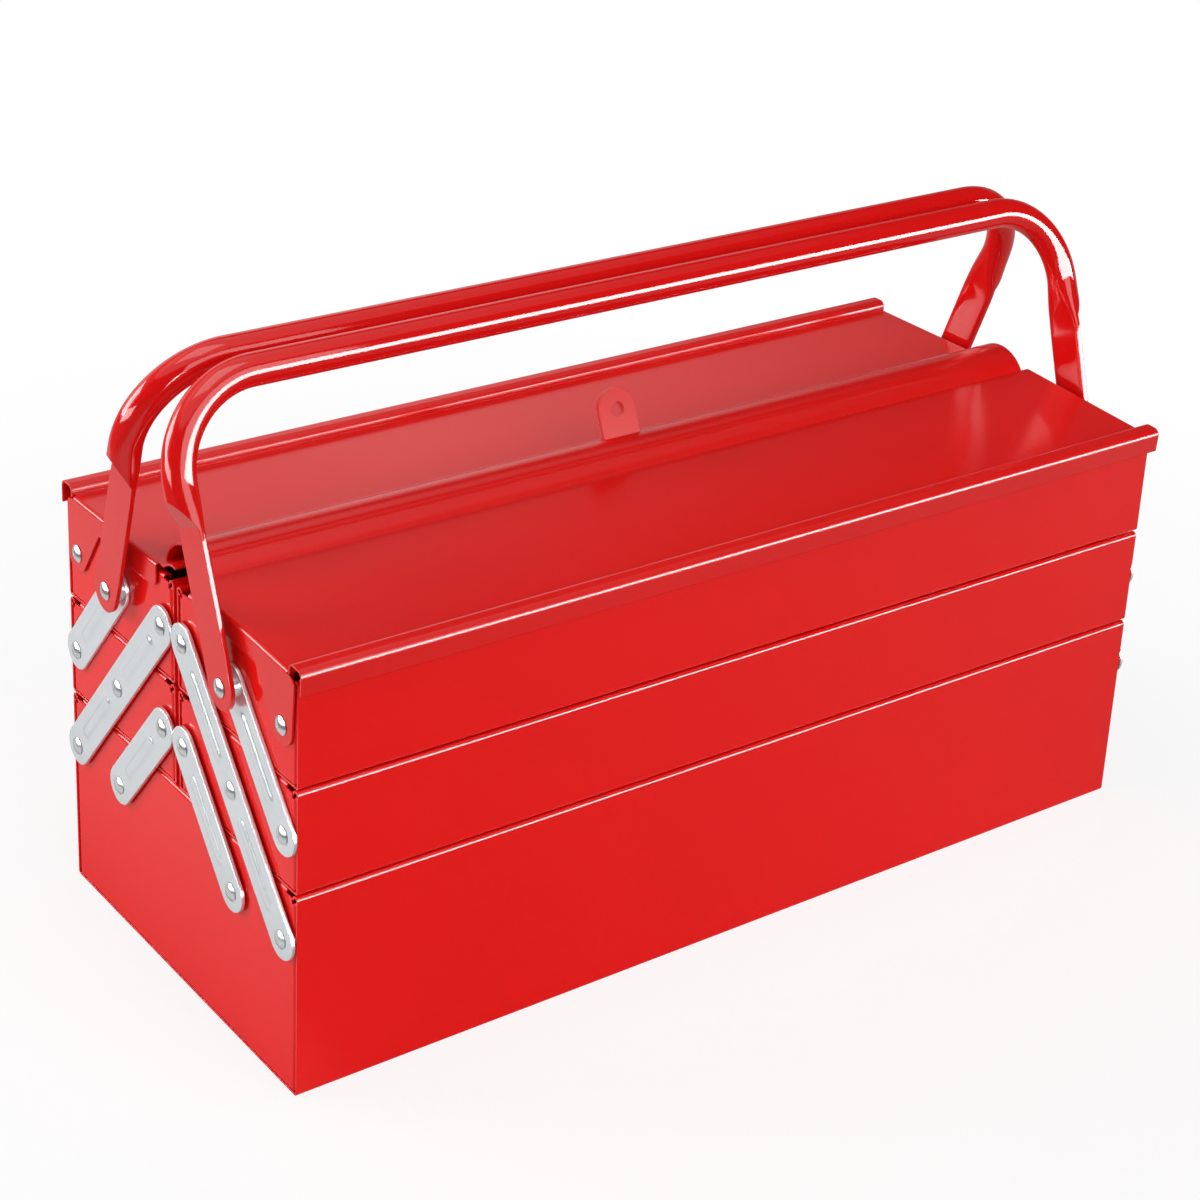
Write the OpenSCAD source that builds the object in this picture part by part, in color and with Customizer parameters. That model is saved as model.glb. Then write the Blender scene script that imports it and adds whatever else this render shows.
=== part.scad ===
// Cantilever tool box: a deep base, two middle trays and two lidded upper trays,
// carried by flat links at both ends, with two carrying bows.
// X is the length, -Y the front long face, Z up. Origin: centre of the floor face.

/* [Box] */
// Length over the end plates
box_l = 470; // [380:5:540]
// Depth over the long walls
box_w = 200; // [190:2:220]
// Height of the base to its rim
base_h = 95.7; // [90:0.1:110]
// Height of each tray to its rim
tray_h = 47.5; // [44:0.5:56]
// Gap between a rim and the tray above it
stack_gap = 1; // [0.6:0.1:1.6]
// Gap between a front tray and the rear one
middle_gap = 3; // [2:0.2:4]

/* [Sheet] */
// Steel sheet of base, trays and lids
sheet = 0.9; // [0.7:0.1:1.1]
// Outer radius of the bends along the floor of the base
floor_r = 1.8; // [1.4:0.1:3]
// Outer radius of the bends along the floor of a tray
tray_r = 1.8; // [1.4:0.1:3]
// Outer radius of the upright bends of an end plate
pan_r = 2.6; // [2:0.1:3.4]
// Outer radius of the bend along the foot of an end plate
foot_r = 1.2; // [1:0.1:1.6]
// Radius of the lower corners of an end plate
pan_corner = 4; // [3:0.25:6]
// Depth of the flanges turned in from an end plate
pan_flange = 13; // [9:0.5:18]
// Outer radius of the rolled rims
hem_r = 2; // [1.7:0.1:2.4]
// Length of an end plate's rim left plain beside each corner
hem_relief = 9; // [7:0.5:14]

/* [Linkage] */
// Outermost rivet column, measured in from the long face
pivot_in = 8.85; // [8:0.05:10]
// Gap in the middle between the link ends of front and rear
centre_gap = 0.5; // [0.5:0.1:2]
// Depth of the rivets below the rim
rivet_drop = 23; // [20:0.5:24]
// Width of the links
link_w = 18.2; // [16:0.1:19]
// Thickness of the links
link_t = 1.6; // [1.2:0.1:1.8]
// Space between end plates and the long and short links
link_off = 1.1; // [0.9:0.1:1.6]
// Space between end plates and the handle links and lid ears
ear_off = 0.35; // [0.3:0.05:0.5]
// Height of the pressed rib on a link
rib_h = 0.8; // [0.5:0.1:1]
// Width of the pressed rib
rib_w = 7.4; // [6:0.2:9]
// Distance from a rivet to the end of a rib
rib_in = 11.5; // [10:0.5:14]

/* [Rivets] */
// Radius of the rivet shanks
rivet_r = 2.6; // [2.2:0.1:3]
// Radius of the rivet heads
head_r = 4.1; // [3.8:0.1:4.8]
// Height of the domed heads
head_h = 1.4; // [1.1:0.1:1.8]
// Radial play of what turns on a rivet
run_gap = 0.06; // [0.04:0.01:0.09]
// End play of what turns on a rivet
end_gap = 0.3; // [0.25:0.05:0.4]

/* [Lids] */
// Lid rivet, measured in from the long face
lid_in = 11; // [10:0.25:12]
// Height of the lid skin above the rim of its tray
lid_over = 3.5; // [2.5:0.5:6]
// Height of the raised bead along the outer edge
bead_h = 4.5; // [3:0.5:6]
// Width of that bead
bead_w = 10; // [9.5:0.5:12]
// Reach of the bead over the long face
lip_out = 2.65; // [2:0.05:3.4]
// Depth of the lip below the lid skin
lip_drop = 6.5; // [5:0.5:8]
// Rise of the front lid towards the middle, in degrees
lid_tilt = 3.6; // [2:0.2:4.4]
// Depth of the shallow flange along a lid end
ear_depth = 9.5; // [7:0.5:11]
// Radius of the ear round a lid rivet
ear_r = 8.4; // [8.4:0.1:9]
// Distance of the ear's upright edge beyond the lid rivet
ear_front = 8.2; // [7:0.2:8.4]
// Where the shallow flange starts to deepen to the ear, measured in from the long face
ear_web = 32.5; // [28:0.5:38]
// Distance of the inner ends of the flanges from the middle
ear_end = 15; // [14:0.5:20]

/* [Ridge] */
// Radius of the ridge over the joint of the lids
ridge_r = 18.9; // [17:0.1:21]
// Height of the ridge above the skin of the rear lid
ridge_h = 13; // [11:0.5:14]
// Shift of the ridge from the middle towards the front
ridge_shift = 1; // [0:0.1:2.5]
// Where the two halves of the ridge meet, behind its crest
seam_back = 4.4; // [3.6:0.1:5]
// Gap between the two halves
seam_gap = 0.6; // [0.5:0.1:1]
// Length of ridge left out at each lid end
ridge_in = 6; // [3:0.5:10]
// Radius of the low bead inside the ridge, at the edge of the rear lid
low_r = 11.5; // [10:0.25:13]
// Height of the low bead above the skin of the rear lid
low_h = 3.5; // [2.5:0.25:4]

/* [Hasp] */
// Width of the padlock tabs
hasp_w = 20; // [16:0.5:24]
// Height of the tabs over the ridge
hasp_h = 22; // [18:0.5:26]
// Thickness of a tab
hasp_t = 1.2; // [1:0.1:1.4]
// Radius of the padlock hole
hasp_hole_r = 3.6; // [3:0.1:4.5]
// Lean of the tabs towards the rear, in degrees
hasp_lean = 24; // [15:1:24]
// Place of the tabs along the box
hasp_x = -5; // [-40:1:40]

/* [Handles] */
// Diameter of the bow tube
bow_d = 14.2; // [12:0.2:16]
// Height of the bow's bar above its rivets, along the bow
bow_l = 122.5; // [110:0.5:140]
// Bend radius of the bow, to the tube centre
bow_r = 39.5; // [30:0.5:44]
// Distance of the tube centre beyond the end plate
bow_out = 9.4; // [9.2:0.2:12]
// Gap between the two grips when both bows stand up
grip_gap = 7.2; // [4:0.2:12]
// Length of straight tube between a pressed arm and the bend
leg_l = 17; // [16:0.5:30]
// Thickness of the pressed arms
arm_t = 3; // [2.4:0.2:4]
// Width of the pressed arms
arm_w = 19.2; // [17:0.2:21]
// Space between the ribs of the handle links and the arms
arm_gap = 1.5; // [1:0.1:2.5]
// Outward splay of the arms, in degrees
arm_splay = 1.6; // [0.4:0.2:3]
// Length of the slanted shoulder where the outer face of an arm meets the round tube
shoulder_l = 11.5; // [8:0.5:13]
// Length over which the arm grows round on its inner face
blend_l = 15; // [12:0.5:16]

/* [Hidden] */
half_l = box_l / 2;
half_w = box_w / 2;
pitch = tray_h + stack_gap;
tray_w = half_w - middle_gap / 2;
mid_z0 = base_h + stack_gap;
top_z0 = mid_z0 + pitch;
// rivet columns, from the outermost to the middle, and rivet rows, from below
col_out = half_w - pivot_in;
col_in = (link_w + centre_gap) / 2;
pivot_step = (col_out - col_in) / 2;
col = [for (i = [0:2]) col_out - i * pivot_step];
lid_y = half_w - lid_in;
row = [for (i = [0:2]) base_h - rivet_drop + i * pitch];
link_len = norm([pivot_step, pitch]);
link_ang = atan2(pitch, pivot_step);
head_in_h = 1.1;
head_in_r = 4.6;
press_gap = 0.03;
washer_r = 5.6;
washer_h = link_off - end_gap;
spacer_h = rib_h + arm_gap - end_gap;
ear_out = ear_off + sheet;
arm_off = ear_off + link_t + rib_h + arm_gap;
// how far the heads of the four kinds of rivet stand off the end plate
link_out = link_off + link_t + end_gap;
low_out = ear_off + link_t + end_gap;
lid_out = ear_out + end_gap;
arm_out = arm_off + arm_t + end_gap;
// lid sections lie in a frame at the lid rivet: outwards, then upwards
lid_half = half_l + ear_out;
lid_rise = rivet_drop + lid_over;
skin_r = 1.7;
bead_r = 3.2;
bead_top = lid_rise + bead_h;
bead_x1 = lid_in + lip_out;
bead_x0 = bead_x1 - bead_w;
strip_end = ear_end - lid_y;
strip_z = lid_rise - ear_depth;
// the ridge's axis, and its seam in a frame that leans back like the tabs
skin_z = row[2] + lid_rise;
ridge_y = -ridge_shift;
ridge_z = skin_z + ridge_h - ridge_r;
seam_a = asin(seam_back / ridge_r) - hasp_lean;
seam_u = ridge_r * sin(seam_a);
seam_v = ridge_r * cos(seam_a);
tab_side = 0.2;
// the bows: x is beyond the middle of the box, lengths run up along the bow
bow_x = half_l + bow_out;
bow_lean = asin((col[1] - (bow_d + grip_gap) / 2) / bow_l);
arm_l = bow_l - bow_r - leg_l;
arm_bend = 14;
arm_x0 = half_l + arm_off;
arm_x1 = arm_x0 + (arm_l - arm_bend) * tan(arm_splay);
$fn = 64;

// ---------- sheet sections ----------

// A box outline with both lower corners rounded.
module tub_outline(w, h, r) {
  translate([0, r]) square([w, h - r]);
  translate([r, 0]) square([w - 2 * r, r + 0.01]);
  translate([r, r]) circle(r);
  translate([w - r, r]) circle(r);
}

// A rolled rim round its centre: from the wall over the top, open below inside.
module hem_curl() {
  difference() {
    circle(hem_r);
    circle(hem_r - sheet);
    translate([0.25, -hem_r]) square([hem_r, hem_r - 0.2]);
  }
}

// One long sheet bent into wall, floor and wall, both rims rolled inwards.
module wrap_section(w, h, r) {
  wall_top = h - hem_r;
  difference() {
    tub_outline(w, wall_top, r);
    translate([sheet, sheet]) tub_outline(w - 2 * sheet, h, r - sheet);
  }
  translate([hem_r, wall_top]) hem_curl();
  translate([w - hem_r, wall_top]) mirror([1, 0]) hem_curl();
}

// Turns a section drawn in Y and Z into a bar along X, centred on the box.
module along_x(l) {
  translate([-l / 2, 0, 0]) rotate([90, 0, 90]) linear_extrude(l) children();
}

// The block that an end plate fills: corner is the radius of its lower corners, r and
// foot the radii of its upright and lower edges on the outer face.
module pan_block(w, h, depth, r, foot, corner) {
  intersection() {
    rotate([90, 0, 90]) linear_extrude(depth) tub_outline(w, h, corner);
    linear_extrude(h) union() {
      translate([r, 0]) square([depth, w]);
      translate([0, r]) square([depth, w - 2 * r]);
      translate([r, r]) circle(r);
      translate([r, w - r]) circle(r);
    }
    translate([0, w, 0]) rotate([90, 0, 0]) linear_extrude(w) union() {
      translate([foot, 0]) square([depth, h]);
      translate([0, foot]) square([depth, h - foot]);
      translate([foot, foot]) circle(foot);
    }
  }
}

// A pressed end plate, drawn for the left end: flanges turned in, rim rolled,
// rivet holes at the listed [y, z] places.
module end_pan(y0, z0, w, h, holes) {
  iw = w - 2 * sheet;
  ih = h - sheet;
  rim = 2 * hem_r + 0.4;
  difference() {
    translate([-half_l, y0 + sheet, z0 + sheet]) difference() {
      pan_block(iw, ih - hem_r, pan_flange, pan_r, foot_r, pan_corner);
      translate([sheet, sheet, sheet]) pan_block(iw - 2 * sheet, ih, pan_flange,
        pan_r - sheet, foot_r - sheet, pan_corner - sheet);
    }
    for (p = holes) translate([-half_l - 1, p[0], p[1]])
      rotate([0, 90, 0]) cylinder(h = 4, r = rivet_r + press_gap);
    // the corners stay clear of the rolled rims of the long walls
    for (y = [y0, y0 + w - rim]) translate([-half_l - 1, y, z0 + h - rim])
      cube([pan_flange + 2, rim, rim]);
  }
  translate([-half_l + hem_r, y0 + w - hem_relief, z0 + h - hem_r])
    rotate([90, 0, 0]) linear_extrude(w - 2 * hem_relief) hem_curl();
}

module both_ends(side) {
  if (side == "right") mirror([1, 0, 0]) children();
  else children();
}

// ---------- rivets, washers ----------

// A domed head on the plane x = 0, bulging towards -X.
module dome(r, h) {
  ball = (r * r + h * h) / (2 * h);
  rotate([0, -90, 0]) intersection() {
    cylinder(h = h, r = r);
    translate([0, 0, h - ball]) sphere(ball, $fn = 96);
  }
}

// A rivet through the left end plate; out is how far its head stands off the plate.
module rivet(p, out) {
  translate([-half_l, p[0], p[1]]) {
    translate([-out, 0, 0]) dome(head_r, head_h);
    translate([-out, 0, 0]) rotate([0, 90, 0]) cylinder(h = out + sheet, r = rivet_r);
    translate([sheet, 0, 0]) rotate([0, 90, 0]) cylinder(h = head_in_h, r = head_in_r);
  }
}

// A washer on a rivet, its inner face at off from the end plate.
module washer(p, off, h) {
  translate([-half_l - off - h, p[0], p[1]]) rotate([0, 90, 0]) difference() {
    cylinder(h = h, r = washer_r);
    translate([0, 0, -1]) cylinder(h = h + 2, r = rivet_r + press_gap);
  }
}

// Places a thing at the left end and its mirror image at the right end.
module twice() {
  children();
  mirror([1, 0, 0]) children();
}

// ---------- base ----------

base_holes = [for (s = [-1, 1], i = [0, 1]) [s * col[i], row[0]]];

module base_shell() {
  color("#c8191a") along_x(box_l) translate([-half_w, 0])
    wrap_section(box_w, base_h, floor_r);
}

module base_end(side) {
  color("#d81e1e") both_ends(side) end_pan(-half_w, 0, box_w, base_h, base_holes);
}

module base_rivets() {
  color("#c9ced2") twice() for (p = base_holes) rivet(p, link_out);
}

module base_washers() {
  color("#b4babf") twice() for (p = base_holes) washer(p, 0, washer_h);
}

// ---------- trays, drawn for the front and mirrored for the rear ----------

module to_side(s) {
  if (s > 0) mirror([0, 1, 0]) children();
  else children();
}

mid_holes = [for (i = [0:2]) [-col[i], row[1]]];
top_holes = [for (y = [lid_y, col[1], col[2]]) [-y, row[2]]];

module tray_shell(s, z0) {
  color("#c8191a") to_side(s) along_x(box_l) translate([-half_w, z0])
    wrap_section(tray_w, tray_h, tray_r);
}

module tray_end(s, z0, side, holes) {
  color("#d81e1e") to_side(s) both_ends(side)
    end_pan(-half_w, z0, tray_w, tray_h, holes);
}

module middle_rivets(s) {
  color("#c9ced2") to_side(s) twice() {
    rivet(mid_holes[0], low_out);
    rivet(mid_holes[1], link_out);
    rivet(mid_holes[2], link_out);
  }
}

module middle_washers(s) {
  color("#b4babf") to_side(s) twice() for (i = [1, 2]) washer(mid_holes[i], 0, washer_h);
}

module upper_rivets(s) {
  color("#c9ced2") to_side(s) twice() {
    rivet(top_holes[0], lid_out);
    rivet(top_holes[1], arm_out);
    rivet(top_holes[2], link_out);
  }
}

// The second washer spaces the arm of the bow off its link.
module upper_washers(s) {
  color("#b4babf") to_side(s) twice() {
    washer(top_holes[2], 0, washer_h);
    washer(top_holes[1], ear_off + link_t + end_gap / 2, spacer_h);
  }
}

// ---------- links ----------

// A flat link in the plane of the left end, from the first of n rivets upwards,
// leaning inwards as the closed box has it, a pressed rib in each span.
module link(s, start, n, off) {
  to_side(s) translate([-half_l - off - link_t, -start[0], start[1]])
    rotate([90 + link_ang, 0, 0]) link_blank(n);
}

// The link laid along -Z of its own frame: thickness in X, width in Y.
module link_blank(n) {
  span = (n - 1) * link_len;
  rotate([0, 90, 0]) difference() {
    union() {
      linear_extrude(link_t) union() {
        circle(d = link_w);
        translate([0, -link_w / 2]) square([span, link_w]);
        translate([span, 0]) circle(d = link_w);
      }
      for (i = [0:n - 2]) translate([i * link_len, 0, 0]) rib();
    }
    for (i = [0:n - 1]) translate([i * link_len, 0, -rib_h - 1])
      cylinder(h = link_t + rib_h + 2, r = rivet_r + run_gap);
  }
}

// A rounded rib standing off the outer face of a link.
module rib() {
  reach = link_len - 2 * rib_in;
  ball = (rib_w * rib_w / 4 + rib_h * rib_h) / (2 * rib_h);
  intersection() {
    translate([rib_in, 0, -rib_h + ball]) rotate([0, 90, 0])
      cylinder(h = reach, r = ball, $fn = 96);
    translate([0, 0, -rib_h - 0.5]) linear_extrude(rib_h + 1) union() {
      translate([rib_in + rib_w / 2, -rib_w / 2]) square([reach - rib_w, rib_w]);
      translate([rib_in + rib_w / 2, 0]) circle(d = rib_w);
      translate([rib_in + reach - rib_w / 2, 0]) circle(d = rib_w);
    }
  }
}

module long_link(s, side) {
  color("#c3cace") both_ends(side) link(s, [col[0], row[0]], 3, link_off);
}

module short_link(s, side) {
  color("#c3cace") both_ends(side) link(s, [col[1], row[0]], 2, link_off);
}

module handle_link(s, side) {
  color("#c3cace") both_ends(side) link(s, [col[0], row[1]], 2, ear_off);
}

// ---------- lids ----------

// Puts a section or solid of the lid's own frame on the rivets of the front lid.
module at_lid_rivets(tilt) {
  translate([0, -lid_y, row[2]]) rotate([tilt, 0, 0]) mirror([0, 1, 0]) children();
}

module bead_outline(t) {
  r = bead_r - t;
  w = bead_w - 2 * t;
  translate([bead_x0 + t, 0]) {
    square([w, bead_top - t - r]);
    translate([r, 0]) square([w - 2 * r, bead_top - t]);
    translate([r, bead_top - t - r]) circle(r);
    translate([w - r, bead_top - t - r]) circle(r);
  }
}

// The outer edge: the skin steps up into a hollow bead and drops as the lip.
module lid_edge_section() {
  difference() {
    bead_outline(0);
    bead_outline(sheet);
    translate([bead_x0 - 1, -1]) square([bead_w - sheet, lid_rise - sheet + 1]);
    translate([bead_x0 - 1, -1]) square([bead_w + 2, lid_rise - lip_drop + 1]);
  }
}

// An end flange: a shallow strip, deeper at its inner end, and the ear that turns
// on the lid rivet.
module ear_outline() {
  top = lid_rise - skin_r;
  corner = 4;
  tab_l = 22;
  tab_drop = 2;
  web = [lid_in - ear_web, strip_z];
  // the lower edge runs from the strip just inside the round of the ear
  meet_r = ear_r - 0.1;
  ang = atan2(-web[1], -web[0]) - asin(meet_r / norm(web));
  reach = sqrt(pow(norm(web), 2) - pow(meet_r, 2));
  touch = web + reach * [cos(ang), sin(ang)];
  intersection() {
    circle(ear_r);
    translate([-ear_r, -ear_r]) square([ear_r + ear_front, 2 * ear_r]);
  }
  translate([ear_front - corner, top - corner]) circle(corner);
  polygon([[0, 0], touch, web, [web[0], top], [ear_front - corner, top],
    [ear_front - corner, top - corner], [ear_front, top - corner], [ear_front, 0]]);
  translate([strip_end + corner, strip_z])
    square([web[0] - strip_end - corner + 0.01, top - strip_z]);
  translate([strip_end, strip_z + corner]) square([corner + 0.01, top - strip_z - corner]);
  translate([strip_end + corner, strip_z - tab_drop]) square([tab_l, tab_drop + 0.01]);
  translate([strip_end, strip_z - tab_drop + corner]) square([corner + 0.01, corner]);
  translate([strip_end + corner, strip_z - tab_drop + corner]) circle(corner);
}

// Skin, outer edge and both end flanges, from the skin's inner edge at x1.
module lid_body(x1) {
  flange_x = bead_x0 - 1;
  along_x(2 * lid_half) lid_edge_section();
  along_x(2 * (lid_half - skin_r)) translate([x1, lid_rise - sheet])
    square([bead_x0 + sheet - x1, sheet]);
  twice() {
    // the bend from skin to flange
    translate([-lid_half + skin_r, flange_x, lid_rise - skin_r]) rotate([90, 0, 0])
      linear_extrude(flange_x - strip_end) intersection() {
        difference() {
          circle(skin_r);
          circle(skin_r - sheet);
        }
        translate([-skin_r, 0]) square(skin_r);
      }
    translate([-lid_half, 0, 0]) rotate([90, 0, 90]) linear_extrude(sheet) difference() {
      ear_outline();
      circle(rivet_r + run_gap);
    }
  }
}

module ridge_ring(r, t) {
  translate([ridge_y, ridge_z]) difference() {
    circle(r, $fn = 128);
    circle(r - t, $fn = 128);
  }
}

// Everything before the leaning seam of the ridge, or behind it.
module seam_side(s, back) {
  far = 3 * ridge_r;
  translate([ridge_y, ridge_z]) rotate(-hasp_lean)
    translate([s < 0 ? -far : seam_u + back, -far])
    square([s < 0 ? far + seam_u - back : far, 2 * far]);
}

// The cut-out of the ridge round a padlock tab.
module tab_notch(s) {
  y0 = s < 0 ? seam_u - seam_gap / 2 - hasp_t : seam_u;
  translate([hasp_x, ridge_y, ridge_z]) rotate([-hasp_lean, 0, 0])
    translate([-hasp_w / 2 - tab_side, y0, seam_v - 5])
    cube([hasp_w + 2 * tab_side, seam_gap / 2 + hasp_t, 10]);
}

module front_lid() {
  // the ridge's axis in the frame of the tilted lid, and its foot on the skin
  a = ridge_y + lid_y;
  b = ridge_z - row[2];
  axis_in = a * cos(lid_tilt) + b * sin(lid_tilt);
  axis_up = b * cos(lid_tilt) - a * sin(lid_tilt);
  foot = axis_in - sqrt(pow(ridge_r, 2) - pow(lid_rise - axis_up, 2));
  color("#b8171a") {
    at_lid_rivets(lid_tilt) lid_body(-foot - sheet / 4);
    difference() {
      along_x(2 * (lid_half - ridge_in)) intersection() {
        ridge_ring(ridge_r, sheet);
        seam_side(-1, seam_gap / 2);
        translate([-lid_y, row[2]]) rotate(lid_tilt) translate([0, lid_rise - sheet / 2])
          square([half_w, 2 * ridge_r]);
      }
      tab_notch(-1);
    }
  }
}

// The rear lid carries the rear half of the ridge, and inside it a low bead.
module rear_lid() {
  low_y = -ridge_y + 2;
  low_z = skin_z + low_h - low_r;
  low_reach = 2.2;
  low_foot = low_y + sqrt(pow(low_r, 2) - pow(low_r - low_h, 2));
  color("#b8171a") {
    mirror([0, 1, 0]) at_lid_rivets(0) lid_body(low_foot - sheet / 4 - lid_y);
    difference() {
      along_x(2 * (lid_half - ridge_in)) intersection() {
        ridge_ring(ridge_r, sheet);
        seam_side(1, seam_gap / 2);
        translate([0, skin_z - sheet / 2]) square([half_w, 2 * ridge_r]);
      }
      tab_notch(1);
    }
    along_x(2 * (lid_half - skin_r)) intersection() {
      translate([low_y, low_z]) difference() {
        circle(low_r, $fn = 96);
        circle(low_r - sheet, $fn = 96);
      }
      translate([low_y - low_reach, skin_z - sheet / 2]) square([2 * low_r, low_r]);
    }
  }
}

// ---------- hasp ----------

// A padlock tab: a round-topped plate that leans back through the seam, and a curved
// foot under the ridge.
module hasp_tab(s) {
  tab_y = s < 0 ? seam_u - seam_gap / 2 - hasp_t : seam_u + seam_gap / 2;
  hole_v = seam_v + hasp_h - hasp_w / 2;
  low_v = seam_v - sheet - hasp_t - 0.4;
  foot_l = s < 0 ? 12 : 8;
  foot_y = ridge_y + (s < 0 ? seam_back - foot_l : seam_back - hasp_t);
  color("#b8171a") {
    translate([hasp_x, ridge_y, ridge_z]) rotate([-hasp_lean, 0, 0])
      translate([0, tab_y + hasp_t, 0]) rotate([90, 0, 0]) linear_extrude(hasp_t) difference() {
        union() {
          translate([-hasp_w / 2, low_v]) square([hasp_w, hole_v - low_v]);
          translate([0, hole_v]) circle(d = hasp_w);
        }
        translate([0, hole_v]) circle(hasp_hole_r);
      }
    translate([hasp_x, 0, 0]) along_x(hasp_w - 2) intersection() {
      ridge_ring(ridge_r - sheet, hasp_t);
      seam_side(s, (seam_gap + hasp_t) / 2);
      translate([foot_y, ridge_z]) square([foot_l + hasp_t, 2 * ridge_r]);
    }
  }
}

// ---------- handles ----------

// A pressed arm seen along the box: straight past the rivet, then splayed.
module arm_profile() {
  polygon([[arm_x0, -arm_w], [arm_x0 + arm_t, -arm_w], [arm_x0 + arm_t, arm_bend],
    [arm_x1 + arm_t, arm_l], [arm_x1, arm_l], [arm_x0, arm_bend]]);
}

module arm() {
  intersection() {
    translate([0, arm_w / 2, 0]) rotate([90, 0, 0]) linear_extrude(arm_w) arm_profile();
    translate([half_l, 0, 0]) rotate([90, 0, 90]) linear_extrude(2 * bow_out + bow_d) union() {
      circle(d = arm_w);
      translate([-arm_w / 2, 0]) square([arm_w, arm_l]);
    }
  }
}

// The end of the round tube above an arm, pressed in from both faces: the outer plane
// leaves the creased shoulder.
module shoulder() {
  past = 1;
  out_x = bow_x + bow_d / 2;
  in_x = bow_x - bow_d / 2;
  out_slope = shoulder_l / (out_x - arm_x1 - arm_t);
  in_slope = blend_l / (arm_x1 - in_x);
  intersection() {
    translate([bow_x, 0, arm_l]) cylinder(h = leg_l, d = bow_d);
    translate([0, bow_d, 0]) rotate([90, 0, 0]) linear_extrude(2 * bow_d) polygon([
      [arm_x1, arm_l], [arm_x1 + arm_t, arm_l],
      [out_x + past, arm_l + shoulder_l + past * out_slope], [out_x + past, bow_l],
      [in_x - past, bow_l], [in_x - past, arm_l + blend_l + past * in_slope]]);
  }
}

// The corners of the arm fade into the sides of the tube.
module fairing() {
  narrow = 0.85 * bow_d;
  hull() {
    translate([arm_x1, -arm_w / 2, arm_l - 0.1]) cube([arm_t, arm_w, 0.1]);
    translate([bow_x - arm_t / 2, -narrow / 2, arm_l + blend_l]) cube([arm_t, narrow, 0.1]);
  }
}

// The round tube of the bow above the shoulders: bar and bends.
module bow_tube() {
  translate([-bow_x + bow_r, 0, bow_l]) rotate([0, 90, 0])
    cylinder(h = 2 * (bow_x - bow_r), d = bow_d);
  twice() translate([bow_x - bow_r, 0, bow_l - bow_r]) rotate([90, 0, 0])
    rotate_extrude(angle = 90) translate([bow_r, 0]) circle(d = bow_d);
}

module bow(s) {
  color("#c4161a") to_side(s) translate([0, -col[1], row[2]]) rotate([-bow_lean, 0, 0])
    difference() {
      union() {
        bow_tube();
        twice() {
          arm();
          shoulder();
          fairing();
        }
      }
      translate([-bow_x, 0, 0]) rotate([0, 90, 0])
        cylinder(h = 2 * bow_x, r = rivet_r + run_gap);
    }
}

// ---------- all nodes ----------

base_shell();
base_end("left");  // base_end_left
base_end("right");  // base_end_right
base_rivets();
base_washers();
tray_shell(-1, mid_z0);  // front_middle_shell
tray_end(-1, mid_z0, "left", mid_holes);  // front_middle_end_left
tray_end(-1, mid_z0, "right", mid_holes);  // front_middle_end_right
middle_rivets(-1);  // front_middle_rivets
middle_washers(-1);  // front_middle_washers
tray_shell(1, mid_z0);  // rear_middle_shell
tray_end(1, mid_z0, "left", mid_holes);  // rear_middle_end_left
tray_end(1, mid_z0, "right", mid_holes);  // rear_middle_end_right
middle_rivets(1);  // rear_middle_rivets
middle_washers(1);  // rear_middle_washers
tray_shell(-1, top_z0);  // front_upper_shell
tray_end(-1, top_z0, "left", top_holes);  // front_upper_end_left
tray_end(-1, top_z0, "right", top_holes);  // front_upper_end_right
upper_rivets(-1);  // front_upper_rivets
upper_washers(-1);  // front_upper_washers
tray_shell(1, top_z0);  // rear_upper_shell
tray_end(1, top_z0, "left", top_holes);  // rear_upper_end_left
tray_end(1, top_z0, "right", top_holes);  // rear_upper_end_right
upper_rivets(1);  // rear_upper_rivets
upper_washers(1);  // rear_upper_washers
front_lid();
hasp_tab(-1);  // front_hasp
rear_lid();
hasp_tab(1);  // rear_hasp
long_link(-1, "left");  // front_long_link_left
long_link(-1, "right");  // front_long_link_right
short_link(-1, "left");  // front_short_link_left
short_link(-1, "right");  // front_short_link_right
handle_link(-1, "left");  // front_handle_link_left
handle_link(-1, "right");  // front_handle_link_right
long_link(1, "left");  // rear_long_link_left
long_link(1, "right");  // rear_long_link_right
short_link(1, "left");  // rear_short_link_left
short_link(1, "right");  // rear_short_link_right
handle_link(1, "left");  // rear_handle_link_left
handle_link(1, "right");  // rear_handle_link_right
bow(-1);  // front_handle
bow(1);  // rear_handle
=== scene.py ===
# Cantilever tool box of glossy red enamelled sheet steel with zinc plated links.
# Everything is in metres: X along the box, -Y its front, Z up from the floor.
import math

import bmesh
import bpy
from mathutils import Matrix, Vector


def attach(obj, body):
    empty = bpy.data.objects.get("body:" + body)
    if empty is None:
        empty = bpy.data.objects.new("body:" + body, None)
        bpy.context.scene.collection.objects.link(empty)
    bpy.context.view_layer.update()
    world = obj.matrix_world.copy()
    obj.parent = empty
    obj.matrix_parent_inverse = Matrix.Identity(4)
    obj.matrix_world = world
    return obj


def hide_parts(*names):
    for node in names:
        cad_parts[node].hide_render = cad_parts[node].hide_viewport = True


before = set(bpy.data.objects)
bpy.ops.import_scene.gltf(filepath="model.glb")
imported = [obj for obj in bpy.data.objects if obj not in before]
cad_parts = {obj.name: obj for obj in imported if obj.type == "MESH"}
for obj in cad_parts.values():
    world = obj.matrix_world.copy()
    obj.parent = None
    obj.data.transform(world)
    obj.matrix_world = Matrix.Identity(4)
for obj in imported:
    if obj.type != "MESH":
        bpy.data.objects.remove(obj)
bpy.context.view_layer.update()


# ---------------------------------------------------------------- studio
# A photographer's white table with soft boxes round it. The table keeps the shadow
# of the box, and the lens stands to the left of the front and above it.

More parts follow.
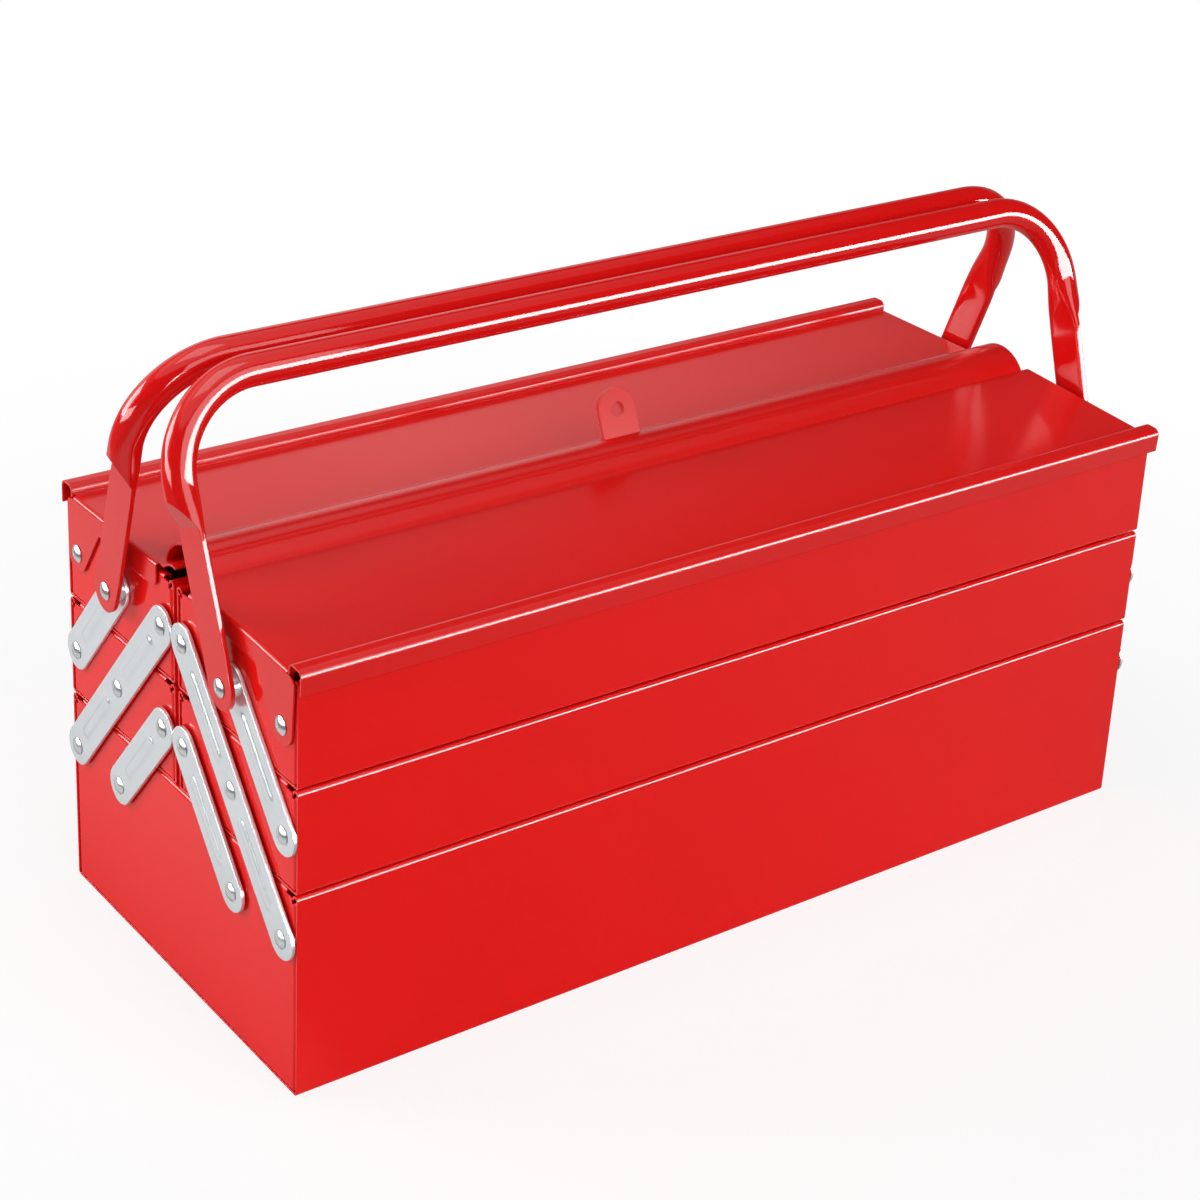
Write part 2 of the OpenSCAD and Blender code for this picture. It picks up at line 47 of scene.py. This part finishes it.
class Value:
    """A number that varies over a surface: arithmetic on it adds Math nodes."""

    def __init__(self, finish, socket):
        self.finish = finish
        self.socket = socket

    def math(self, operation, other):
        return self.finish.node("Math", {"operation": operation}, {0: self, 1: other})

    def __add__(self, other):
        return self.math("ADD", other)

    def __sub__(self, other):
        return self.math("SUBTRACT", other)

    def __mul__(self, other):
        return self.math("MULTIPLY", other)

    def __truediv__(self, other):
        return self.math("DIVIDE", other)

    def __rsub__(self, other):
        return self.finish.node("Math", {"operation": "SUBTRACT"}, {0: other, 1: self})

    __radd__ = __add__
    __rmul__ = __mul__

    def clamp(self):
        """The number kept between 0 and 1."""
        return self.math("MAXIMUM", 0.0).math("MINIMUM", 1.0)

    def ramp(self, start, end):
        """0 at start and before it, 1 at end and after it, straight between them."""
        return ((self - start) / (end - start)).clamp()


class Finish:
    """The nodes of a material or a world, with one method that adds any node."""

    def __init__(self, owner, output="OutputMaterial"):
        self.owner = owner
        owner.use_nodes = True
        self.tree = owner.node_tree
        self.tree.nodes.clear()
        self.out = self.tree.nodes.new("ShaderNode" + output)

    def node(self, kind, settings=None, sockets=None, output=0):
        made = self.tree.nodes.new("ShaderNode" + kind)
        for key, value in (settings or {}).items():
            setattr(made, key, value)
        for key, value in (sockets or {}).items():
            socket = made.inputs[key]
            if isinstance(value, Value):
                self.tree.links.new(value.socket, socket)
            else:
                socket.default_value = value
        return Value(self, made.outputs[output])

    def place(self):
        """Where a point lies on the object at rest, in metres."""
        return self.node("TexCoord", output="Object")

    def stretched(self, along, turn=0.0):
        """The place turned about X, then scaled, for marks that run one way."""
        turned = self.node("Mapping", {}, {"Vector": self.place(),
                                           "Rotation": (turn, 0, 0)})
        return self.node("Mapping", {}, {"Vector": turned, "Scale": along})

    def noise(self, scale, detail=2.0, vector=None):
        return self.node("TexNoise", {}, {"Vector": vector or self.place(),
                                          "Scale": scale, "Detail": detail})

    def blend(self, factor, a, b):
        """A mix of two colours, through the colour sockets of the Mix node."""
        return self.node("Mix", {"data_type": "RGBA"}, {0: factor, 6: a, 7: b}, output=2)

    def grey(self, value):
        return self.node("CombineColor", {}, {0: value, 1: value, 2: value})

    def ray(self, kind):
        return self.node("LightPath", output=f"Is {kind} Ray")

    def mirrored_ray(self):
        """1 for a ray that a surface has mirrored or let through."""
        return (self.ray("Glossy") + self.ray("Transmission")).clamp()

    def surface(self, shader):
        self.tree.links.new(shader.socket, self.out.inputs["Surface"])
        return self.owner


def mesh_object(name, verts, faces):
    mesh = bpy.data.meshes.new(name)
    mesh.from_pydata(verts, [], faces)
    mesh.update()
    made = bpy.data.objects.new(name, mesh)
    bpy.context.scene.collection.objects.link(made)
    return made


TABLE_HALF = 12.0
PAPER_DARK, PAPER_LIGHT = (0.82, 0.82, 0.82, 1), (0.86, 0.86, 0.86, 1)
WHITE = (1, 1, 1, 1)
# the lens sees the paper mostly as a white glow, and near the box partly as lit, so that
# the shadow shows
GLOW_NEAR, GLOW_FROM, GLOW_FULL = 0.82, 0.3, 0.7
# mirrored in the enamel, the table is bright in a band at the left, dim in the middle
# and a little brighter to the right
BAND_TONE, RIGHT_TONE, DIM_TONE = 0.5, 0.3, 0.12

corners = [(x * TABLE_HALF, y * TABLE_HALF, 0)
           for x, y in ((-1, -1), (1, -1), (1, 1), (-1, 1))]
table = mesh_object("table", corners, [(0, 1, 2, 3)])
paper = Finish(bpy.data.materials.new("table_paper"))
sheet = paper.blend(paper.noise(40.0, 3.0), PAPER_DARK, PAPER_LIGHT)
matt = paper.node("BsdfDiffuse", {}, {"Color": sheet})
glow = paper.node("Emission", {}, {"Color": WHITE, "Strength": 1.0})
away = paper.node("VectorMath", {"operation": "LENGTH"}, {0: paper.place()},
                  output="Value")
fade = away.ramp(GLOW_FROM, GLOW_FULL) * (1 - GLOW_NEAR) + GLOW_NEAR
along = paper.node("SeparateXYZ", {}, {0: paper.place()}, output="X")
band = along.ramp(-0.2, -0.3) * along.ramp(-0.6, -0.44)
tone = along.ramp(-0.1, 0.6) * RIGHT_TONE + band * BAND_TONE + DIM_TONE
mirrored = paper.node("Emission", {}, {"Color": paper.grey(tone), "Strength": 1.0})
lit = paper.node("MixShader", {}, {0: paper.mirrored_ray(), 1: matt, 2: mirrored})
table.data.materials.append(paper.surface(
    paper.node("MixShader", {}, {0: paper.ray("Camera") * fade, 1: lit, 2: glow})))

# A white backdrop stands behind the table, and a panel hangs over it. In the lids the
# backdrop mirrors brightest low and at the left, and its upper edge slopes down to the
# right. Places are parts of a unit direction: 1 is straight that way.
EDGE_AT_MIDDLE, EDGE_SLOPE, EDGE_SOFT = 0.79, 0.52, 0.007
BACKDROP_TONE, LOW_TONE, RIGHT_LOSS = 0.31, 0.54, 0.85
PANEL_TONE, WALL_TONE = 0.8, 0.03
FILL_LIGHT = 0.38

room = Finish(bpy.data.worlds.new("studio"), "OutputWorld")
bpy.context.scene.world = room.owner
way = room.node("TexCoord", output="Generated")
to_right, to_back, to_top = (room.node("SeparateXYZ", {}, {0: way}, output=axis)
                             for axis in "XYZ")
edge_height = EDGE_AT_MIDDLE - to_right * EDGE_SLOPE
below_edge = (edge_height - to_top).ramp(-EDGE_SOFT, EDGE_SOFT)
low = to_top.ramp(0.45, 0.385)
left = 1 - to_right.ramp(0.5, 0.67) * RIGHT_LOSS
backdrop = to_back.ramp(0.2, 0.3) * below_edge * left
overhead = to_top.ramp(0.66, 0.72) * to_right.ramp(0.66, 0.42)
tone = backdrop * (low * LOW_TONE + BACKDROP_TONE) + overhead * PANEL_TONE + WALL_TONE
fill = room.node("Background", {}, {"Color": WHITE, "Strength": FILL_LIGHT})
bright = room.node("Background", {}, {"Color": WHITE, "Strength": 1.0})
mirrored = room.node("Background", {}, {"Color": room.grey(tone), "Strength": 1.0})
lit = room.node("MixShader", {}, {0: room.mirrored_ray(), 1: fill, 2: mirrored})
room.surface(room.node("MixShader", {}, {0: room.ray("Camera"), 1: lit, 2: bright}))


def soft_box(name, place, aim, size, radiance, gleam=False):
    """A rectangular soft box facing the point aim; radiance 1 is paper white, and a
    gleam only shows as a highlight."""
    light = bpy.data.lights.new(name, "AREA")
    light.shape = "RECTANGLE"
    light.size, light.size_y = size
    light.energy = radiance * math.pi * size[0] * size[1]
    made = bpy.data.objects.new(name, light)
    made.location = place
    made.rotation_euler = (Vector(aim) - Vector(place)).to_track_quat("-Z", "Y").to_euler()
    made.visible_camera = False
    made.visible_diffuse = not gleam
    bpy.context.scene.collection.objects.link(made)


soft_box("strip_front", (0.9, -1.25, 0.28), (0.9, 0, 0.28), (3.2, 0.52), 22, gleam=True)
soft_box("strip_left", (-2.3, 0.5, 0.36), (0, 0, 0.15), (1.8, 0.5), 8, gleam=True)
soft_box("box_front", (0.2, -2.6, 1.5), (0, 0, 0.1), (2.4, 1.4), 3.3)
soft_box("box_left", (-1.7, 1.5, 0.8), (-0.2, 0, 0.1), (1.2, 1.0), 9.0)
soft_box("box_top", (-0.3, -0.2, 2.6), (0, 0, 0.1), (1.8, 1.4), 2.3)

# the lens as worked out from the photograph's straight edges, in pixels of its frame of
# 1200: it points at AXIS_PX, which isn't the middle, so the picture is shifted
LENS_PX, FRAME_PX, SENSOR = 2706.4, 1200, 36.0
AXIS_PX = (571.88, 414.86)
CAMERA_AT = (-0.70171, -0.89473, 0.69475)
CAMERA_TURN = (67.2004, -2.4848, -35.6104)
camera_data = bpy.data.cameras.new("lens")
camera_data.sensor_width = SENSOR
camera_data.lens = LENS_PX / FRAME_PX * SENSOR
camera_data.shift_x = 0.5 - AXIS_PX[0] / FRAME_PX
camera_data.shift_y = AXIS_PX[1] / FRAME_PX - 0.5
camera_data.clip_start, camera_data.clip_end = 0.05, 60.0
camera = bpy.data.objects.new("lens", camera_data)
camera.location = CAMERA_AT
camera.rotation_euler = [math.radians(a) for a in CAMERA_TURN]
bpy.context.scene.collection.objects.link(camera)
bpy.context.scene.camera = camera
bpy.context.scene.view_settings.view_transform = "Standard"


# ---------------------------------------------------------------- base and trays
# Bent and pressed sheet steel, dipped or sprayed in glossy red enamel and stoved.
# The enamel lies thick and even, with a faint orange peel and soft sheet waves.

SIDES = ("front", "rear")
LEVELS = ("base",) + tuple(f"{s}_{level}" for s in SIDES for level in ("middle", "upper"))
WAVE_H, PEEL_H = 0.0006, 0.000003
SHADE_DEEP, SHADE_LIT = 0.94, 1.04
GLOSS_SPREAD = 0.04


def enamel(name, red, rough=0.075, wave=1.0, peel=1.0, edge_r=0.0003, mirror=0.5):
    """Stoved gloss enamel of one shade: wave and peel scale its relief, and edge_r
    rounds the light on its edges."""
    f = Finish(bpy.data.materials.new(name))
    cloud = f.noise(9.0, 3.0)
    deep = [c * SHADE_DEEP for c in red] + [1]
    lit = [min(1.0, c * SHADE_LIT) for c in red] + [1]
    shade = f.blend(cloud, deep, lit)
    edge = f.node("Bevel", {"samples": 4}, {"Radius": edge_r})
    sheet_wave = f.noise(14.0, 1.0) * WAVE_H * wave
    orange_peel = f.noise(900.0, 1.0) * (PEEL_H * peel)
    relief = f.node("Bump", {}, {"Strength": 0.6, "Distance": 1.0,
                                 "Height": sheet_wave + orange_peel, "Normal": edge})
    dust = f.noise(2600.0, 2.0)
    gloss = dust * GLOSS_SPREAD + (cloud * GLOSS_SPREAD + (rough - GLOSS_SPREAD))
    return f.surface(f.node("BsdfPrincipled", {}, {
        "Base Color": shade, "Roughness": gloss, "Normal": relief,
        "Specular IOR Level": mirror, "IOR": 1.5}))


def dress(names, material):
    for name in names:
        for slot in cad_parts[name].material_slots:
            slot.material = material


sheet_red = enamel("sheet_enamel", (0.80, 0.0075, 0.006))
# the end plates' red is a little darker than the shell's: painted shade on the ends
end_shaded_red = enamel("end_enamel_painted_shade", (0.78, 0.0075, 0.006), wave=0.5, mirror=0.3)
dress([f"{level}_shell" for level in LEVELS], sheet_red)
dress([f"{level}_end_{hand}" for level in LEVELS for hand in ("left", "right")], end_shaded_red)

# ---------------------------------------------------------------- lids
# Folded sheet with a hollow bead along the outer edge. Each lid carries one half of
# the ridge over the joint and a padlock tab. Same enamel, flatter and less sharp, with
# its red darkened to paint the shade of the dimmer light on the tops.

lid_shaded_red = enamel("lid_enamel_painted_shade", (0.70, 0.0075, 0.006), rough=0.18, wave=0.7)
dress([f"{side}_{part}" for side in SIDES for part in ("lid", "hasp")], lid_shaded_red)

# ---------------------------------------------------------------- links
# Strip steel blanked with round ends, its ribs pressed between the rivet holes, barrel
# plated in bright zinc: bluish, with faint rolling lines and cloudy spangles.

STREAK_H, CLOUD_H = 0.000001, 0.000003
STREAK_GLOSS, CLOUD_GLOSS = 0.04, 0.05


def zinc(name, tint, rough, metal, turn=0.0):
    """Bright zinc plate, with faint rolling lines along Z after a turn about X."""
    f = Finish(bpy.data.materials.new(name))
    cloud = f.noise(70.0, 2.0)
    streak = f.noise(420.0, 1.0, f.stretched((1, 1, 0.04), turn))
    dull, pale, dark = ([min(1, c * part) for c in tint] + [1]
                        for part in (0.92, 1.04, 0.88))
    tone = f.blend(streak * 0.3, f.blend(cloud, dull, pale), dark)
    relief = f.node("Bump", {}, {"Strength": 0.5, "Distance": 1.0,
                                 "Height": streak * STREAK_H + cloud * CLOUD_H})
    middle = (STREAK_GLOSS + CLOUD_GLOSS) / 2
    gloss = cloud * CLOUD_GLOSS + streak * STREAK_GLOSS + (rough - middle)
    return f.surface(f.node("BsdfPrincipled", {}, {
        "Base Color": tone, "Metallic": metal, "Normal": relief, "Roughness": gloss}))


def finished(made, material):
    """Smooth shading with creases over 30 degrees, outward faces and one material."""
    bm = bmesh.new()
    bm.from_mesh(made.data)
    bmesh.ops.remove_doubles(bm, verts=bm.verts, dist=1e-7)
    bmesh.ops.recalc_face_normals(bm, faces=bm.faces)
    bm.to_mesh(made.data)
    bm.free()
    made.data.shade_smooth()
    made.data.set_sharp_from_angle(angle=math.radians(30))
    made.data.materials.append(material)


def ease(low, high, value):
    """0 below low, 1 above high, and a smooth rise between them."""
    t = min(1.0, max(0.0, (value - low) / (high - low)))
    return t * t * (3 - 2 * t)


# half the length over the end plates; the rivets' columns, from the outer one inwards,
# and their rows, from the lowest up
HALF_L = 0.235
COLUMNS, ROWS = (0.09115, 0.05025, 0.00935), (0.0727, 0.1212, 0.1697)
LINK_R, LINK_T, EDGE_R = 0.0091, 0.0016, 0.0004
RIB_H, RIB_HALF, RIB_FLAT, RIB_IN = 0.0008, 0.0037, 0.0013, 0.0115
# how finely a link is meshed: points along its edge and its straight part, and lines
# inwards from its edge, close together where it is rounded
END_TURN, END_POINTS, ALONG_STEP = 9, 11, 0.0008
EDGE_LINES = [0.0, 0.00008, 0.0002, EDGE_R]
FLAT_LINES = 16
# (distance from the end plate, column and row of the lowest rivet, rivet steps)
LINKS = {"long": (0.0011, (0, 0), 2), "short": (0.0011, (1, 0), 1),
         "handle": (0.00035, (0, 1), 1)}


def strip_link(name, kind, front, left, material):
    """A link of one kind, leaning up and inwards from its lowest rivet."""
    off, (column, row), steps = LINKS[kind]
    y0, z0 = COLUMNS[column], ROWS[row]
    rise = Vector((COLUMNS[0] - COLUMNS[1], ROWS[1] - ROWS[0]))
    pitch, lane = rise.length, rise.normalized()
    length = pitch * steps
    turns = [math.radians(END_TURN * i) for i in range(END_POINTS)]
    stations = [-LINK_R * math.cos(t) for t in turns]
    count = round(length / ALONG_STEP)
    stations += [length * i / count for i in range(1, count)]
    stations += [length + LINK_R * math.sin(t) for t in turns]
    lines = EDGE_LINES + [EDGE_R + (LINK_R - EDGE_R) * i / FLAT_LINES
                          for i in range(1, FLAT_LINES + 1)]
    verts, faces = [], []

    def put(a, b, height):
        """A point a along the link and b across it, over its inner face."""
        y = y0 - lane.x * a - lane.y * b
        z = z0 + lane.y * a - lane.x * b
        x = HALF_L + off + height
        verts.append((-x if left else x, -y if front else y, z))

    def relief(a, b):
        """The rib over the flat face, less the rounding of the edge."""
        step = min(steps - 1, max(0, int(a / pitch)))
        first = step * pitch + RIB_IN + RIB_HALF
        last = (step + 1) * pitch - RIB_IN - RIB_HALF
        from_line = math.hypot(a - min(last, max(first, a)), b)
        from_edge = max(0.0, LINK_R - math.hypot(max(-a, a - length, 0.0), b))
        down = max(0.0, EDGE_R - from_edge)
        rounded = EDGE_R - math.sqrt(max(0.0, EDGE_R ** 2 - down ** 2))
        return RIB_H * (1 - ease(RIB_FLAT, RIB_HALF, from_line)) - rounded

    for a in stations:
        over = max(-a, a - length, 0.0)
        half = max(math.sqrt(max(LINK_R ** 2 - over ** 2, 0.0)), 1e-5)
        across = [-half * (1 - line / LINK_R) for line in lines]
        if half > 2 * EDGE_R:
            across[:len(EDGE_LINES)] = [line - half for line in EDGE_LINES]
        across += [-b for b in reversed(across[:-1])]
        for b in across:
            put(a, b, LINK_T + relief(a, b))
        put(a, half, 0.0)
        put(a, -half, 0.0)
    ring = 2 * len(lines) + 1
    for at in range(0, ring * (len(stations) - 1), ring):
        for i in range(ring):
            beside = (i + 1) % ring
            faces.append((at + i, at + beside, at + ring + beside, at + ring + i))
    for at in (0, ring * (len(stations) - 1)):
        faces.append([at + i for i in range(ring)])
    made = mesh_object(name, verts, faces)
    finished(made, material)
    return made


LEAN = math.atan2(COLUMNS[0] - COLUMNS[1], ROWS[1] - ROWS[0])
for side in SIDES:
    link_zinc = zinc(f"{side}_link_zinc", (0.90, 0.94, 0.97), rough=0.24, metal=0.75,
                     turn=LEAN if side == "front" else -LEAN)
    for kind in LINKS:
        for hand in ("left", "right"):
            node = f"{side}_{kind}_link_{hand}"
            link = strip_link(f"{node}_plate", kind, side == "front", hand == "left",
                              link_zinc)
            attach(link, f"{side}_{kind}_links")
            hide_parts(node)

# ---------------------------------------------------------------- rivets and washers
# Domed steel rivets, headed cold and zinc plated. Stamped washers space the long and
# short links off the end plates, and the bows' arms off the handle links.

rivet_zinc = zinc("rivet_zinc", (0.86, 0.87, 0.88), rough=0.2, metal=0.95)
dress([f"{level}_{part}" for level in LEVELS for part in ("rivets", "washers")], rivet_zinc)

# ---------------------------------------------------------------- bows
# Round steel tube bent at both corners. Each end is pressed flat from the outer side,
# which leaves a creased shoulder, and the whole bow is enamelled like the box, its red
# darkened to paint the shade of the weaker light on the arms.

# lengths are measured along the bow from the rivet it turns on; TUBE_X is where the
# tube's middle line stands, and outward is away from the box
TUBE_R, BEND_R = 0.0071, 0.0395
TUBE_X, BOW_L = 0.2444, 0.1225
BOW_LEAN = math.radians(18.836)
ARM_T, ARM_HALF, ARM_L = 0.003, 0.0096, 0.066
ARM_OUT, ARM_BEND, SPLAY = -0.00215, 0.014, math.tan(math.radians(1.6))
# the shoulder rises over SHOULDER; the section grows round from these lengths on
SHOULDER, SQUARE_TO, WIDE_TO, ROUND_AT = 0.0115, ARM_L - 0.014, ARM_L - 0.008, 0.086
SQUARE_POWER, ROUND_POWER = 5, 2
# how finely a bow is meshed
CAP_TURN, CAP_RINGS, BEND_TURN, BEND_RINGS, BAR_RINGS = 8, 12, 3, 31, 9
SECTION_FINE, SECTION_POINTS, CHORD_POINTS = 720, 60, 10
ARM_STATIONS = [0.004 * i for i in range(1, 15)] + [0.058 + 0.002 * i for i in range(4)]
SHOULDER_STATIONS = [ARM_L + 0.0005 * i for i in range(24)] + [0.079, 0.081]


def bow_half(along):
    """Half the bow's width at a length along it."""
    return ARM_HALF + (TUBE_R - ARM_HALF) * ease(WIDE_TO, ROUND_AT, along)


def bow_section(along, half_width):
    """Points of the tube's outline at a length along the bow: (outward, across).
    Without a flat the list starts and ends at the outermost point."""
    splayed = ARM_OUT + max(0.0, min(along, ARM_L) - ARM_BEND) * SPLAY
    centre = splayed * (1 - ease(ARM_L, ROUND_AT, along))
    inner = ARM_T + (TUBE_R - ARM_T) * ease(WIDE_TO, ROUND_AT, along)
    rounder = (SQUARE_POWER - ROUND_POWER) * ease(SQUARE_TO, ROUND_AT, along)
    power = 2 / (SQUARE_POWER - rounder)
    start = math.acos(min(1.0, max(0.0, (along - ARM_L) / SHOULDER)))
    dense = []
    for i in range(SECTION_FINE + 1):
        turn = start + (2 * math.pi - 2 * start) * i / SECTION_FINE
        c, s = math.cos(turn), math.sin(turn)
        if c >= 0:
            dense.append((centre + TUBE_R * c, half_width * s))
        else:
            dense.append((centre - inner * abs(c) ** power,
                          half_width * math.copysign(abs(s) ** power, s)))
    lengths = [0.0]
    for p, q in zip(dense, dense[1:]):
        lengths.append(lengths[-1] + math.dist(p, q))
    spread, at = [], 0
    for i in range(SECTION_POINTS + 1):
        want = lengths[-1] * i / SECTION_POINTS
        while at < SECTION_FINE - 1 and lengths[at + 1] < want:
            at += 1
        step = (want - lengths[at]) / max(lengths[at + 1] - lengths[at], 1e-12)
        p, q = dense[at], dense[at + 1]
        spread.append((p[0] + (q[0] - p[0]) * step, p[1] + (q[1] - p[1]) * step))
    return spread


def carrying_bow(name, front, material):
    """One bow: half of it lofted from the arm's round end to the middle of the bar,
    then mirrored."""
    verts, faces, rings = [], [], []

    def ring(section, centre, outward, flat):
        first = len(verts)
        points = list(section)
        if flat:
            p, q = section[-1], section[0]
            points += [(p[0] + (q[0] - p[0]) * i / CHORD_POINTS,
                        p[1] + (q[1] - p[1]) * i / CHORD_POINTS)
                       for i in range(1, CHORD_POINTS)]
        for out, across in points:
            x = centre[0] + outward[0] * out
            up = centre[1] + outward[1] * out
            y = -COLUMNS[1] + across * math.cos(BOW_LEAN) + up * math.sin(BOW_LEAN)
            z = ROWS[2] - across * math.sin(BOW_LEAN) + up * math.cos(BOW_LEAN)
            verts.append((x, y if front else -y, z))
        rings.append((first, len(section), flat))

    for i in reversed(range(CAP_RINGS)):
        turn = math.radians(CAP_TURN * i)
        ring(bow_section(0.0, ARM_HALF * math.cos(turn)),
             (TUBE_X, -ARM_HALF * math.sin(turn)), (1, 0), True)
    for along in ARM_STATIONS + SHOULDER_STATIONS + [BOW_L - BEND_R]:
        ring(bow_section(along, bow_half(along)), (TUBE_X, along), (1, 0),
             along <= ARM_L + SHOULDER)
    for i in range(1, BEND_RINGS):
        turn = math.radians(BEND_TURN * i)
        along = BOW_L - BEND_R + turn * BEND_R
        out = (math.cos(turn), math.sin(turn))
        ring(bow_section(along, bow_half(along)),
             (TUBE_X - BEND_R + BEND_R * out[0], BOW_L - BEND_R + BEND_R * out[1]),
             out, False)
    for i in range(1, BAR_RINGS):
        ring(bow_section(BOW_L, TUBE_R),
             ((TUBE_X - BEND_R) * (1 - i / (BAR_RINGS - 1)), BOW_L), (0, 1), False)
    for (a, n, flat), (b, _, flat_b) in zip(rings, rings[1:]):
        faces += [(a + i, a + i + 1, b + i + 1, b + i) for i in range(n - 1)]
        if flat and flat_b:
            loop_a, loop_b = ([c + n - 1 + i for i in range(CHORD_POINTS)] + [c]
                              for c in (a, b))
            faces += [(loop_a[i], loop_a[i + 1], loop_b[i + 1], loop_b[i])
                      for i in range(CHORD_POINTS)]
    first, n, _ = rings[0]
    faces.append(list(range(first, first + n + CHORD_POINTS - 1)))
    shift = len(verts)
    verts += [(-x, y, z) for x, y, z in verts]
    faces += [[v + shift for v in face] for face in faces]
    made = mesh_object(name, verts, faces)
    finished(made, material)
    return made


# the bow's red is darker than the box's: painted shade
bow_shaded_red = enamel("bow_enamel_painted_shade", (0.68, 0.0065, 0.006), rough=0.055, wave=0.1, peel=0.25,
                 edge_r=0.0006)
for side in SIDES:
    bow = carrying_bow(f"{side}_bow_tube", side == "front", bow_shaded_red)
    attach(bow, f"{side}_bow")
    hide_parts(f"{side}_handle")
